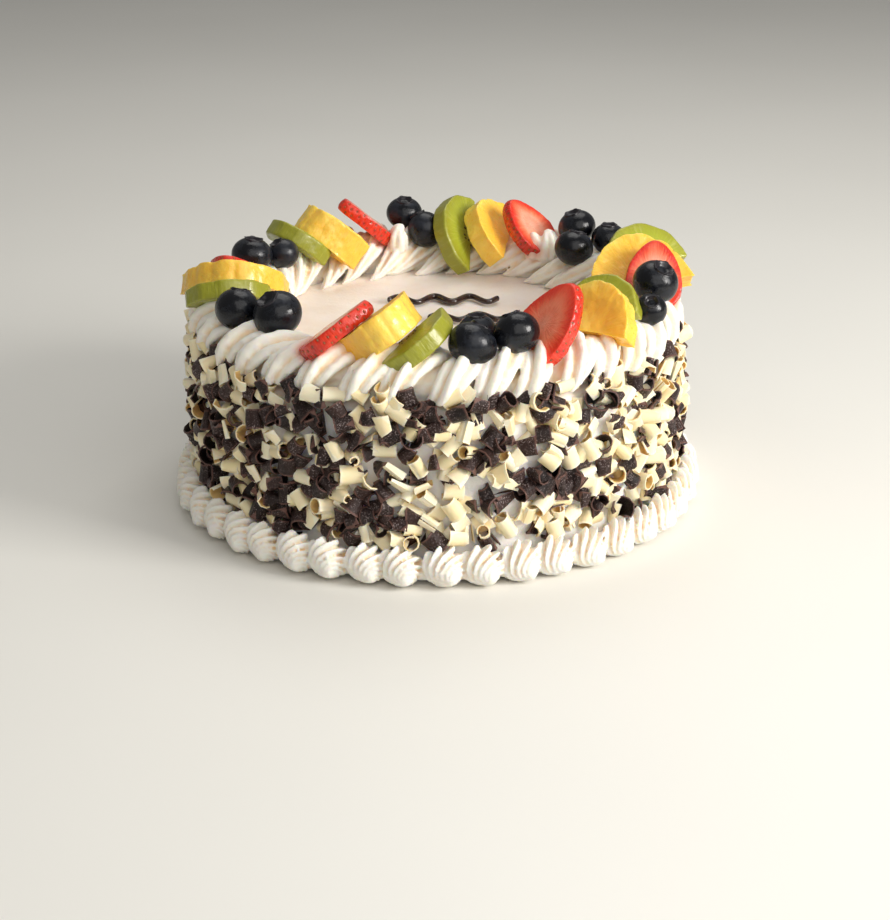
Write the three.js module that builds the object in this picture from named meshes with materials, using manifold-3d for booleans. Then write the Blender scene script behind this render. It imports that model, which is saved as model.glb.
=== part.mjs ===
// Fresh-cream fruit cake: a round cream-covered cake whose side is coated with chocolate curls,
// with a piped rope round its top edge, a piped shell border at its foot, and six groups of fruit.
// Millimetres, +Z up. Origin at the middle of the flat base; the front of the cake faces -Y.
import * as THREE from "three";
import { mergeVertices } from "three/addons/utils/BufferGeometryUtils.js";
import Module from "manifold-3d";

// ---- driving dimensions ----
const GAP = 0.3; // clearance between touching pieces
const TOP_Z = 74; // flat cream top
const CREAM_RADIUS = 101.5; // cream side under the curls
const CREAM_EDGE = 4; // rounding of the top edge
const EDGE_STEPS = 3;
const COAT_RADIUS = 105.2; // middle of the curls' uneven outline
const COAT_UNEVEN = 1.1; // how far the outline swings in and out of it
const COAT_WAVES = [13, 23]; // swings round the cake
const COAT_DRIFT = [2.1, -3.7]; // how they shift from row to row
const COAT_ROWS = 6;
const COAT_BOTTOM = 17.6;
const COAT_TOP = 73;
const BORDER_RADIUS = 115.5; // outer tips of the foot border
const BORDER_NOTCH = 4.2; // how far the gaps between shells cut in
const BORDER_HEIGHT = 16.5;
const BORDER_DIP = 0.28; // share of the height lost between two shells
const SHELLS = 44;
const ROPE_INNER = 72; // foot of the rope on the flat top
const ROPE_OUTER = 106.4; // where the rope hangs over the side
const ROPE_CREST = 93.5;
const ROPE_RIDGE = 1.7; // half the depth of its ridges
const ROPE_TWIST = 2.6; // ridges crossed between the outer and the inner foot
const LOOPS = 36;
const STEPS = 3; // columns of facets to a loop or a shell
const SEGMENTS = 44; // facets round the cake

// edge: the chamfer round a slice. Pineapple: its rim is cut into scallops (bites, as deep as bite
// leaves) along an arc of sweep radians each way, with ends as high as corner leaves.
const STRAWBERRY = { length: 34, width: 23, thick: 6.2, edge: 1.6 };
const PINEAPPLE = {
  chord: 49,
  height: 27,
  thick: 9,
  edge: 0.8,
  bites: 6,
  bite: 0.965,
  sweep: 1.25,
  corner: 0.42,
};
const KIWI = { chord: 41, height: 21, thick: 7.5, edge: 1.1, steps: 10 };
const BERRY_SIDES = 8;
const SCROLL_THICK = 2.8; // piped chocolate line

// ---- finishes ----
const cream = finish(0xf6eddb, 0.5);
const curls = finish(0x8a6b55, 0.6);
const chocolate = finish(0x2a1712, 0.25);
const redFlesh = finish(0xd93a26, 0.3);
const yellowFlesh = finish(0xf2b632, 0.35);
const greenFlesh = finish(0x8fa52c, 0.35);
const berrySkin = finish(0x1c2236, 0.35);

// Fruit places. angle: degrees round the cake, counter-clockwise from the front seen from above.
// radius and z: the piece's middle. lean: how steeply it lies against the next piece.
// raise: how far its outer end is lifted. yaw: its turn about the vertical.
// spin: its turn in its own plane. Angles in degrees. share: its size beside the usual slice.
// plump: how thick it was cut beside the usual slice.
const STRAWBERRIES = [
  { angle: 334.4, radius: 90, z: 97.5, lean: 38, raise: 6, yaw: 18, spin: 0, share: 1.02 },
  { angle: 30.5, radius: 88, z: 96.6, lean: 52, raise: 2, yaw: 14, spin: -14, share: 1.18 },
  { angle: 87, radius: 93, z: 93.8, lean: 48, raise: -4, yaw: 0, spin: 0, share: 1.04 },
  { angle: 150, radius: 84, z: 95.5, lean: 46, raise: 14, yaw: 0, spin: -6, share: 0.94 },
  { angle: 203, radius: 85, z: 97.5, lean: 40, raise: 10, yaw: 6, spin: 0, share: 1 },
  { angle: 261.5, radius: 89, z: 93.8, lean: 32, raise: 4, yaw: 0, spin: 0, share: 0.95 },
];
const PINEAPPLES = [
  { angle: 346, radius: 88, z: 99, lean: 36, raise: 8, yaw: 8, spin: -64, share: 0.7, plump: 1.4 },
  { angle: 47, radius: 86, z: 97, lean: 48, raise: 6, yaw: 6, spin: -4, share: 0.84 },
  { angle: 98, radius: 88, z: 96, lean: 44, raise: 5, yaw: 0, spin: 2, share: 0.94 },
  { angle: 163.5, radius: 83, z: 95.4, lean: 50, raise: 12, yaw: 0, spin: 10, share: 0.78 },
  { angle: 216.5, radius: 84, z: 96.8, lean: 42, raise: 12, yaw: 8, spin: 0, share: 0.8, plump: 1.5 },
  { angle: 273, radius: 86, z: 95.6, lean: 34, raise: 7, yaw: 4, spin: 0, share: 0.95 },
];
const KIWIS = [
  { angle: 355.3, radius: 91, z: 94, lean: 36, raise: 2, yaw: 8, spin: -78, share: 0.88 },
  { angle: 58.5, radius: 80, z: 98.6, lean: 46, raise: 6, yaw: 6, spin: 0, share: 0.84 },
  { angle: 110, radius: 95, z: 98, lean: 46, raise: 2, yaw: 4, spin: 0, share: 0.96 },
  { angle: 174.4, radius: 78, z: 95.4, lean: 54, raise: 38, yaw: 0, spin: 0, share: 0.98 },
  { angle: 229, radius: 86, z: 96.4, lean: 40, raise: 12, yaw: 4, spin: 0, share: 0.82 },
  { angle: 285, radius: 88, z: 95, lean: 32, raise: 4, yaw: 0, spin: 0, share: 0.9 },
];
// Berries. size: half the width; squash: height over width; tip and turn: lean of the crown.
const BERRIES = [
  { angle: 8.8, radius: 91, z: 94.7, size: 9.8, squash: 0.88, tip: -20, turn: 30 },
  { angle: 20.5, radius: 89, z: 97, size: 9.4, squash: 0.88, tip: -28, turn: -10 },
  { angle: 13, radius: 72, z: 93.5, size: 7.8, squash: 0.9, tip: 0, turn: 0 },
  { angle: 77.5, radius: 93.8, z: 97.8, size: 9.7, squash: 0.92, tip: 26, turn: -16 },
  { angle: 63.5, radius: 97.5, z: 93.2, size: 6.9, squash: 0.94, tip: 20, turn: -34 },
  { angle: 127, radius: 77.5, z: 93.6, size: 8.8, squash: 0.9, tip: 16, turn: 0 },
  { angle: 136, radius: 92.5, z: 97.8, size: 8.7, squash: 0.88, tip: -14, turn: 12 },
  { angle: 125.5, radius: 96, z: 95.2, size: 8, squash: 0.9, tip: 0, turn: 0 },
  { angle: 183.5, radius: 81, z: 93.4, size: 8.2, squash: 1.04, tip: 30, turn: 24 },
  { angle: 189, radius: 96, z: 97.6, size: 8.5, squash: 0.86, tip: -12, turn: 0 },
  { angle: 239.5, radius: 79, z: 94, size: 7, squash: 0.96, tip: 22, turn: 20 },
  { angle: 249, radius: 87, z: 96.2, size: 9.1, squash: 0.85, tip: -8, turn: -6 },
  { angle: 299, radius: 92, z: 95, size: 9.4, squash: 0.92, tip: -18, turn: -14 },
  { angle: 311.5, radius: 84.5, z: 96.6, size: 10.2, squash: 0.88, tip: 30, turn: -6 },
];
// Piped scrolls on the flat top: length, height of the waves, number of waves, and the middle's place.
const SCROLLS = [
  { name: "chocolate_scroll_rear", length: 50, wave: 4.2, waves: 3, x: 3, y: 29 },
  { name: "chocolate_scroll_front", length: 36, wave: 3.4, waves: 2, x: 14, y: 3 },
];

const wasm = await Module();
wasm.setup();
const cake = new THREE.Group();

function finish(color, roughness) {
  return new THREE.MeshStandardMaterial({ color, roughness, metalness: 0 });
}

function rad(degrees) {
  return THREE.MathUtils.degToRad(degrees);
}

function addMesh(name, geometry, material) {
  const mesh = new THREE.Mesh(geometry, material);
  mesh.name = name;
  cake.add(mesh);
  return mesh;
}

// ---- solids: three.js geometry to manifold-3d and back ----

function solidOf(geometry) {
  const bare = geometry.clone();
  bare.deleteAttribute("normal");
  bare.deleteAttribute("uv");
  const merged = mergeVertices(bare, 1e-3);
  return new wasm.Manifold(
    new wasm.Mesh({
      numProp: 3,
      vertProperties: new Float32Array(merged.attributes.position.array),
      triVerts: new Uint32Array(merged.index.array),
    }),
  );
}

function geometryOf(solid) {
  const mesh = solid.getMesh();
  const geometry = new THREE.BufferGeometry();
  geometry.setAttribute("position", new THREE.BufferAttribute(mesh.vertProperties, 3));
  geometry.setIndex(new THREE.BufferAttribute(mesh.triVerts, 1));
  geometry.computeVertexNormals();
  return geometry;
}

function largestBody(solid) {
  return solid.decompose().sort((a, b) => b.volume() - a.volume())[0];
}

// A closed ring: sectionAt(share) gives the [radius, z, turn] points of the section, anticlockwise
// with the radius to the right and z up, at that share of the way round.
function ringGeometry(columns, sectionAt) {
  const points = [];
  const faces = [];
  let rows = 0;
  for (let column = 0; column < columns; column++) {
    const share = column / columns;
    const section = sectionAt(share);
    rows = section.length;
    for (const [radius, z, turn = 0] of section) {
      const angle = 2 * Math.PI * share + turn;
      points.push(radius * Math.cos(angle), radius * Math.sin(angle), z);
    }
  }
  for (let column = 0; column < columns; column++) {
    const next = (column + 1) % columns;
    for (let row = 0; row < rows; row++) {
      const above = (row + 1) % rows;
      const a = column * rows + row;
      const b = next * rows + row;
      const c = next * rows + above;
      const d = column * rows + above;
      faces.push(a, b, c, a, c, d);
    }
  }
  const geometry = new THREE.BufferGeometry();
  geometry.setAttribute("position", new THREE.Float32BufferAttribute(points, 3));
  geometry.setIndex(faces);
  geometry.computeVertexNormals();
  return geometry;
}

// ---- cake body: flat base, straight side, rounded top edge ----

function bodyGeometry() {
  const profile = [new THREE.Vector2(0, 0), new THREE.Vector2(CREAM_RADIUS, 0)];
  for (let step = 0; step <= EDGE_STEPS; step++) {
    const turn = (Math.PI / 2) * (step / EDGE_STEPS);
    profile.push(
      new THREE.Vector2(
        CREAM_RADIUS - CREAM_EDGE * (1 - Math.cos(turn)),
        TOP_Z - CREAM_EDGE * (1 - Math.sin(turn)),
      ),
    );
  }
  profile.push(new THREE.Vector2(0, TOP_Z));
  return new THREE.LatheGeometry(profile, SEGMENTS).rotateX(Math.PI / 2);
}

// ---- curl coat: the heap of curls on the side, out to its uneven outline ----

function coatGeometry() {
  const inner = CREAM_RADIUS + GAP;
  const swing = (wave, around, row) => Math.sin(COAT_WAVES[wave] * around + COAT_DRIFT[wave] * row);
  return ringGeometry(SEGMENTS, (share) => {
    const around = 2 * Math.PI * share;
    const section = [[inner, COAT_BOTTOM]];
    for (let row = 0; row <= COAT_ROWS; row++) {
      const full = row === 0 || row === COAT_ROWS ? 0.4 : 1; // thinner at the top and the bottom
      const uneven = (swing(0, around, row) + swing(1, around, row)) / 2;
      const radius = inner + (COAT_RADIUS - inner + COAT_UNEVEN * uneven) * full;
      section.push([radius, COAT_BOTTOM + ((COAT_TOP - COAT_BOTTOM) * row) / COAT_ROWS]);
    }
    section.push([inner, COAT_TOP]);
    return section;
  });
}

// ---- foot border: a ring of piped shells ----

function borderGeometry() {
  const inner = CREAM_RADIUS + GAP;
  // Share of the shell's reach, share of its height.
  const outline = [
    [0, 0],
    [0.9, 0],
    [1, 0.3],
    [0.72, 0.88],
    [0, 1.02],
  ];
  return ringGeometry(SHELLS * STEPS, (share) => {
    const swell = Math.min(1, 1.2 * Math.abs(Math.sin(Math.PI * SHELLS * share)));
    const reach = BORDER_RADIUS - inner - BORDER_NOTCH * (1 - swell);
    const height = BORDER_HEIGHT * (1 - BORDER_DIP * (1 - swell));
    return outline.map(([out, up]) => [inner + reach * out, height * up]);
  });
}

// ---- rope: overlapping piped loops with slanted ridges, hanging over the edge ----

function ropeGeometry() {
  const floor = TOP_Z + GAP;
  const span = ROPE_OUTER - ROPE_INNER;
  const crest = ROPE_CREST - floor;
  // Share of the span, share of the crest's height, and how far the ridges stand out there.
  const outline = [
    [0.04, 0, 0],
    [0.86, 0, 0],
    [0.98, 0.14, 0.8],
    [1, 0.42, 1],
    [0.86, 0.8, 1],
    [0.58, 1, 1],
    [0.32, 0.9, 1],
    [0.12, 0.6, 1],
    [0, 0.14, 1],
  ];
  const last = outline.length - 1;
  const middle = ROPE_INNER + span / 2;
  return ringGeometry(LOOPS * STEPS, (share) =>
    outline.map(([across, up, stands], row) => {
      const radius = ROPE_INNER + span * across;
      const z = floor + crest * up;
      const ridge = ROPE_RIDGE * stands * Math.cos(2 * Math.PI * LOOPS * share);
      const away = Math.atan2(z - floor, radius - middle);
      const slant = Math.max(0, row - 2) / (last - 2);
      const turn = (2 * Math.PI * ROPE_TWIST * slant) / LOOPS;
      return [radius + ridge * Math.cos(away), z + ridge * Math.sin(away), turn];
    }),
  );
}

// ---- fruit slices, lying flat: chord along Y, rounded side towards +X, thickness along Z ----

function slab(shape, thick, edge) {
  const geometry = new THREE.ExtrudeGeometry(shape, {
    depth: thick - 2 * edge,
    bevelEnabled: edge > 0,
    bevelThickness: edge,
    bevelSize: edge,
    bevelOffset: -edge,
    bevelSegments: 1,
    curveSegments: 3,
  });
  return geometry.translate(0, 0, edge - thick / 2);
}

function strawberryGeometry({ share }, grow) {
  const half = (share * STRAWBERRY.length) / 2 + grow;
  const wide = (share * STRAWBERRY.width) / 2 + grow;
  const shape = new THREE.Shape();
  shape.moveTo(-half * 0.86, 0);
  shape.quadraticCurveTo(-half * 1.08, wide * 0.62, -half * 0.5, wide);
  shape.bezierCurveTo(half * 0.1, wide * 1.0, half * 0.8, wide * 0.46, half, 0);
  shape.bezierCurveTo(half * 0.8, -wide * 0.46, half * 0.1, -wide * 1.0, -half * 0.5, -wide);
  shape.quadraticCurveTo(-half * 1.08, -wide * 0.62, -half * 0.86, 0);
  return slab(shape, STRAWBERRY.thick + 2 * grow, grow ? 0 : STRAWBERRY.edge);
}

function pineappleGeometry({ share, plump = 1 }, grow) {
  const half = (share * PINEAPPLE.chord) / 2 + grow;
  const high = share * PINEAPPLE.height + 2 * grow;
  const { bites, bite, sweep, corner } = PINEAPPLE;
  const shape = new THREE.Shape();
  shape.moveTo(-high / 2, -half);
  for (let point = 0; point <= 2 * bites; point++) {
    const turn = (sweep * (point - bites)) / bites;
    const scallop = point % 2 ? 1 : bite;
    const rise = corner + (1 - corner) * Math.cos(turn) ** 0.8;
    const along = (half * Math.sin(turn)) / Math.sin(sweep);
    shape.lineTo(-high / 2 + high * scallop * rise, along);
  }
  shape.lineTo(-high / 2, half);
  return slab(shape, PINEAPPLE.thick * plump + 2 * grow, grow ? 0 : PINEAPPLE.edge);
}

function kiwiGeometry({ share }, grow) {
  const half = (share * KIWI.chord) / 2 + grow;
  const high = share * KIWI.height + 2 * grow;
  const shape = new THREE.Shape();
  shape.moveTo(-high / 2, -half);
  for (let step = 1; step < KIWI.steps; step++) {
    const turn = -Math.PI / 2 + (Math.PI * step) / KIWI.steps;
    shape.lineTo(-high / 2 + high * Math.cos(turn), half * Math.sin(turn));
  }
  shape.lineTo(-high / 2, half);
  return slab(shape, KIWI.thick + 2 * grow, grow ? 0 : KIWI.edge);
}

// A berry with its crown: a raised rim round a small hollow.
function berryGeometry(berry, grow) {
  const across = berry.size + grow;
  const high = across * berry.squash;
  const profile = [
    [0, -1],
    [0.72, -0.7],
    [1, -0.05],
    [0.8, 0.62],
    [0.42, 0.97],
    [0.3, 0.72],
    [0, 0.66],
  ].map(([out, up]) => new THREE.Vector2(out * across, up * high));
  return new THREE.LatheGeometry(profile, BERRY_SIDES).rotateX(Math.PI / 2);
}

// Stands a flat slice or a berry at its place round the cake.
function placed(geometry, place) {
  const tilt = new THREE.Euler();
  if (place.size) tilt.set(rad(place.tip), rad(place.turn), 0, "ZXY");
  else tilt.set(rad(-place.raise), rad(-place.lean), rad(place.yaw), "ZXY");
  const piece = new THREE.Object3D();
  piece.rotation.copy(tilt);
  if (place.spin) piece.rotateZ(rad(place.spin));
  piece.position.set(0, -place.radius, place.z);
  const around = new THREE.Group();
  around.rotation.z = rad(place.angle);
  around.add(piece);
  around.updateMatrixWorld(true);
  return geometry.clone().applyMatrix4(piece.matrixWorld);
}

// ---- piped scroll: a waved line of chocolate with rounded ends ----

function scrollGeometry(scroll) {
  const path = new THREE.Curve();
  path.getPoint = (share, target = new THREE.Vector3()) => {
    const along = scroll.length * (share - 0.5);
    const swing = scroll.wave * Math.sin(2 * Math.PI * scroll.waves * share);
    return target.set(scroll.x + along, scroll.y + swing, TOP_Z + GAP + SCROLL_THICK / 2);
  };
  const ring = new THREE.Shape();
  ring.absarc(0, 0, SCROLL_THICK / 2, 0, 2 * Math.PI);
  return new THREE.ExtrudeGeometry(ring, {
    steps: 6 * scroll.waves,
    extrudePath: path,
    curveSegments: 3,
    bevelEnabled: false,
  });
}

// ---- assembly ----

const fruit = [];
const KINDS = [
  ["strawberry", STRAWBERRIES, strawberryGeometry, redFlesh],
  ["pineapple", PINEAPPLES, pineappleGeometry, yellowFlesh],
  ["kiwi", KIWIS, kiwiGeometry, greenFlesh],
];
for (const [kind, places, shapeOf, material] of KINDS) {
  places.forEach((place, index) => {
    const name = `${kind}_${index + 1}`;
    fruit.push({ name, place, material, shapeOf });
  });
}
BERRIES.forEach((place, index) => {
  const name = `berry_${index + 1}`;
  fruit.push({ name, place, material: berrySkin, shapeOf: berryGeometry });
});

// The fruit is pressed into the rope, so the cream is cut round each piece.
let rope = solidOf(ropeGeometry());
for (const { name, place, material, shapeOf } of fruit) {
  addMesh(name, placed(shapeOf(place, 0), place), material);
  rope = rope.subtract(solidOf(placed(shapeOf(place, GAP), place)));
}

addMesh("cake_body", bodyGeometry(), cream);
addMesh("curl_coat", coatGeometry(), curls);
addMesh("base_border", borderGeometry(), cream);
addMesh("rim_rope", geometryOf(largestBody(rope)), cream);
for (const scroll of SCROLLS) addMesh(scroll.name, scrollGeometry(scroll), chocolate);

export default cake;
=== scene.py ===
import math
import random

import bmesh
import bpy
from mathutils import Matrix, Vector
from mathutils.kdtree import KDTree


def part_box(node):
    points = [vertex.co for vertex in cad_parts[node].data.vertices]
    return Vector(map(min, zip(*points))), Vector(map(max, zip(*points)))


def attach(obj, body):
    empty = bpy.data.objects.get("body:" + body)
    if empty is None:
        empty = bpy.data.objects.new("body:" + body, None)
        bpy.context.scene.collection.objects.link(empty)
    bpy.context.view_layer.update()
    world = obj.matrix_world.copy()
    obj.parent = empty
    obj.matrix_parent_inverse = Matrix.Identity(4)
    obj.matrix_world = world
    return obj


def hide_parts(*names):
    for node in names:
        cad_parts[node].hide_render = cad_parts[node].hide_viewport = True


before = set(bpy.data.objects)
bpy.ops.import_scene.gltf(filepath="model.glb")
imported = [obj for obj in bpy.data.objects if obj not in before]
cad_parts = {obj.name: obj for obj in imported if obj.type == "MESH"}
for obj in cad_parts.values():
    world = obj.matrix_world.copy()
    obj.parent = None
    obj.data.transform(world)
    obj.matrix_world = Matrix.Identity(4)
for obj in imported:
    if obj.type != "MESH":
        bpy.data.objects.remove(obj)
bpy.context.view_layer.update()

MM = 0.001
TOP_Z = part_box("cake_body")[1].z
SIDE_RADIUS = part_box("cake_body")[1].x
ROPE_LOOPS = 36
# Peaks of cream between the fruit: angle, radius, height, the way the tip curls, size.
CREAM_PEAKS = [(192.8, 78.5, 88.2, 250, 0.85), (141.5, 83, 87.6, 60, 0.9), (145.5, 79.5, 87, 130, 0.78)]
SHELLS = 44
DARK_CURLS = 630
IVORY_CURLS = 560


# ---- working by hand: selecting, shaping, finishing ----

def deselect():
    if bpy.context.object and bpy.context.object.mode != "OBJECT":
        bpy.ops.object.mode_set(mode="OBJECT")
    bpy.ops.object.select_all(action="DESELECT")


def shape(piece):
    deselect()
    piece.select_set(True)
    bpy.context.view_layer.objects.active = piece
    bpy.ops.object.mode_set(mode="EDIT")
    bpy.ops.mesh.select_all(action="SELECT")


def shaped(piece):
    bpy.ops.object.mode_set(mode="OBJECT")
    return piece


def added(name):
    piece = bpy.context.active_object
    piece.name = name
    piece.data.name = name
    return piece


def pick(piece, kind, test):
    """Selects the faces, edges or vertices that pass the test, while the piece is being shaped."""
    bpy.ops.mesh.select_mode(type=kind)
    bpy.ops.mesh.select_all(action="DESELECT")
    mesh = bmesh.from_edit_mesh(piece.data)
    parts = {"VERT": mesh.verts, "EDGE": mesh.edges, "FACE": mesh.faces}[kind]
    for part in parts:
        if test(part):
            part.select_set(True)
    mesh.select_flush_mode()
    bmesh.update_edit_mesh(piece.data)


def turn(degrees, axis, centre):
    # With no window this operator turns the other way, hence the minus.
    bpy.ops.transform.rotate(value=-math.radians(degrees), orient_axis=axis, center_override=centre)


def resize(share, centre):
    if isinstance(share, (int, float)):
        share = (share, share, share)
    bpy.ops.transform.resize(value=share, center_override=centre)


def push(step):
    bpy.ops.mesh.extrude_region_move(TRANSFORM_OT_translate={"value": tuple(step)})


def outward():
    bpy.ops.mesh.select_all(action="SELECT")
    bpy.ops.mesh.remove_doubles(threshold=0.00001)
    bpy.ops.mesh.normals_make_consistent(inside=False)


def modified(piece, kind, **values):
    """Adds a modifier, sets it and applies it."""
    deselect()
    piece.select_set(True)
    bpy.context.view_layer.objects.active = piece
    bpy.ops.object.modifier_add(type=kind)
    modifier = piece.modifiers[-1]
    for name, value in values.items():
        setattr(modifier, name, value)
    bpy.ops.object.modifier_apply(modifier=modifier.name)
    return piece


def smooth(piece, angle=None):
    deselect()
    piece.select_set(True)
    bpy.context.view_layer.objects.active = piece
    if angle is None:
        bpy.ops.object.shade_smooth()
    else:
        bpy.ops.object.shade_smooth_by_angle(angle=math.radians(angle))
    return piece


def copied(piece, name, matrix):
    copy = piece.copy()
    copy.data = piece.data.copy()
    copy.name = copy.data.name = name
    copy.data.transform(matrix)
    bpy.context.scene.collection.objects.link(copy)
    return copy


def joined(pieces, name):
    deselect()
    for piece in pieces:
        piece.select_set(True)
    bpy.context.view_layer.objects.active = pieces[0]
    if len(pieces) > 1:
        bpy.ops.object.join()
    return added(name)


def discard(piece):
    bpy.data.objects.remove(piece)


def bumpy(piece, size, depth, name, group=""):
    clouds = bpy.data.textures.new(name, "CLOUDS")
    clouds.noise_scale = size
    return modified(piece, "DISPLACE", texture=clouds, strength=depth, mid_level=0.5,
                    texture_coords="LOCAL", vertex_group=group)


def curve_through(points, steps):
    """Points on a smooth line through the given ones."""
    ends = [points[0]] + list(points) + [points[-1]]
    line = []
    for index in range(1, len(ends) - 2):
        a, b, c, d = (Vector(ends[index + k]) for k in (-1, 0, 1, 2))
        for step in range(steps):
            t = step / steps
            line.append(0.5 * (2 * b + (c - a) * t + (2 * a - 5 * b + 4 * c - d) * t * t
                               + (3 * b - a - 3 * c + d) * t ** 3))
    line.append(Vector(ends[-2]))
    return line


# ---- piping: a fluted disc pushed along a flat path in the YZ plane ----

def piped(name, flutes, groove, stations, steps, ripple=0.0, swing=(), edge=0.5):
    """stations: (y, z, half width) in millimetres. ripple: how unevenly the cream comes out.
    swing: how far, in degrees about the Z axis, each station is carried round from the one before.
    edge: how much of the ridges' full height their shoulders keep."""
    line = curve_through(stations, steps)
    middle = [Vector((0, p[0], p[1])) * MM for p in line]
    width = [max(p[2], 0.2) * MM for p in line]
    heading = []
    for index in range(len(middle)):
        ahead = middle[min(index + 1, len(middle) - 1)] - middle[max(index - 1, 0)]
        heading.append(math.degrees(math.atan2(ahead.z, ahead.y)))
    bpy.ops.mesh.primitive_circle_add(vertices=4 * flutes, radius=1, fill_type="NGON",
                                      location=(0, 0, 0))
    piece = added(name)
    shape(piece)
    if groove < 1:
        pick(piece, "VERT", lambda v: v.index % 4 == 2)
        resize(groove, (0, 0, 0))
        pick(piece, "VERT", lambda v: v.index % 4 in (1, 3))
        resize(groove + (1 - groove) * edge, (0, 0, 0))
    bpy.ops.mesh.select_mode(type="FACE")
    bpy.ops.mesh.select_all(action="SELECT")
    resize(width[0], (0, 0, 0))
    turn(heading[0] - 90, "X", (0, 0, 0))
    bpy.ops.transform.translate(value=middle[0])
    beat = 1.0
    for index in range(1, len(middle)):
        push(middle[index] - middle[index - 1])
        bend = (heading[index] - heading[index - 1] + 180) % 360 - 180
        turn(bend, "X", middle[index])
        swell = 1 + ripple * (1 if index % 2 else -1)
        resize(width[index] / width[index - 1] * swell / beat, middle[index])
        beat = swell
    if swing:
        carried = [sum(swing[:index // steps]) + swing[min(index // steps, len(swing) - 1)]
                   * (index % steps) / steps for index in range(len(middle))]
        for index, degrees in enumerate(carried):
            pick(piece, "VERT", lambda v: v.index // (4 * flutes) == index)
            turn(degrees, "Z", (0, 0, 0))
    outward()
    return shaped(piece)


# ---- finishes ----

class Nodes:
    """Short ways to add shader nodes to a finish."""

    def __init__(self, name):
        self.material = bpy.data.materials.new(name)
        self.material.use_nodes = True
        self.tree = self.material.node_tree
        self.shader = self.tree.nodes["Principled BSDF"]

    def add(self, kind, **values):
        node = self.tree.nodes.new(kind)
        for name, value in values.items():
            setattr(node, name, value)
        return node

    def link(self, start, end):
        self.tree.links.new(start, end)

    def place(self):
        return self.add("ShaderNodeTexCoord").outputs["Object"]

    def attribute(self, name, output="Fac"):
        return self.add("ShaderNodeAttribute", attribute_name=name).outputs[output]

    def noise(self, where, scale, detail=3.0, rough=0.55, distortion=0.0):
        node = self.add("ShaderNodeTexNoise")
        node.inputs["Scale"].default_value = scale
        node.inputs["Detail"].default_value = detail
        node.inputs["Roughness"].default_value = rough
        node.inputs["Distortion"].default_value = distortion
        self.link(where, node.inputs["Vector"])
        return node.outputs["Fac"]

    def cells(self, where, scale, feature="F1"):
        node = self.add("ShaderNodeTexVoronoi", feature=feature)
        node.inputs["Scale"].default_value = scale
        self.link(where, node.inputs["Vector"])
        return node.outputs["Distance"]

    def stretch(self, where, scale):
        node = self.add("ShaderNodeMapping")
        node.inputs["Scale"].default_value = scale
        self.link(where, node.inputs["Vector"])
        return node.outputs["Vector"]

    def sums(self, how, first, second=None, clamp=False):
        node = self.add("ShaderNodeMath", operation=how, use_clamp=clamp)
        for socket, value in zip(node.inputs, (first, second)):
            if value is None:
                continue
            if isinstance(value, (int, float)):
                socket.default_value = value
            else:
                self.link(value, socket)
        return node.outputs[0]

    def ranged(self, value, low, high, to_low=0.0, to_high=1.0):
        node = self.add("ShaderNodeMapRange")
        for name, number in (("From Min", low), ("From Max", high),
                             ("To Min", to_low), ("To Max", to_high)):
            node.inputs[name].default_value = number
        self.link(value, node.inputs["Value"])
        return node.outputs["Result"]

    def parts(self, vector):
        node = self.add("ShaderNodeSeparateXYZ")
        self.link(vector, node.inputs[0])
        return node.outputs[0], node.outputs[1], node.outputs[2]

    def together(self, x, y, z=0.0):
        node = self.add("ShaderNodeCombineXYZ")
        for socket, value in zip(node.inputs, (x, y, z)):
            if isinstance(value, (int, float)):
                socket.default_value = value
            else:
                self.link(value, socket)
        return node.outputs[0]

    def ramp(self, value, *stops):
        node = self.add("ShaderNodeValToRGB")
        ramp = node.color_ramp
        while len(ramp.elements) < len(stops):
            ramp.elements.new(1.0)
        for element, (place, colour) in zip(ramp.elements, stops):
            element.position = place
            element.color = (*colour, 1)
        self.link(value, node.inputs["Fac"])
        return node.outputs["Color"]

    def mix(self, share, first, second, blend="MIX"):
        node = self.add("ShaderNodeMix", data_type="RGBA", blend_type=blend)
        for socket, value in ((node.inputs[0], share), (node.inputs[6], first), (node.inputs[7], second)):
            if isinstance(value, (int, float)):
                socket.default_value = value
            elif isinstance(value, tuple):
                socket.default_value = (*value, 1)
            else:
                self.link(value, socket)
        return node.outputs[2]

    def colour(self, value):
        self.link(value, self.shader.inputs["Base Color"])

    def roughness(self, value):
        self.link(value, self.shader.inputs["Roughness"])

    def bump(self, *heights):
        """heights: (value, depth in metres), one on top of the other."""
        under = None
        for height, depth in heights:
            node = self.add("ShaderNodeBump")
            node.inputs["Strength"].default_value = 1.0
            node.inputs["Distance"].default_value = depth
            self.link(height, node.inputs["Height"])
            if under:
                self.link(under, node.inputs["Normal"])
            under = node.outputs["Normal"]
        self.link(under, self.shader.inputs["Normal"])

    def set(self, **values):
        for name, value in values.items():
            self.shader.inputs[name.replace("_", " ")].default_value = value
        return self.material

    def glow(self, weight, radius, scale):
        """Light that spreads inside: weight, its reach in red, green and blue, and the scale in metres."""
        self.shader.inputs["Subsurface Weight"].default_value = weight
        self.shader.inputs["Subsurface Radius"].default_value = radius
        self.shader.inputs["Subsurface Scale"].default_value = scale


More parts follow.
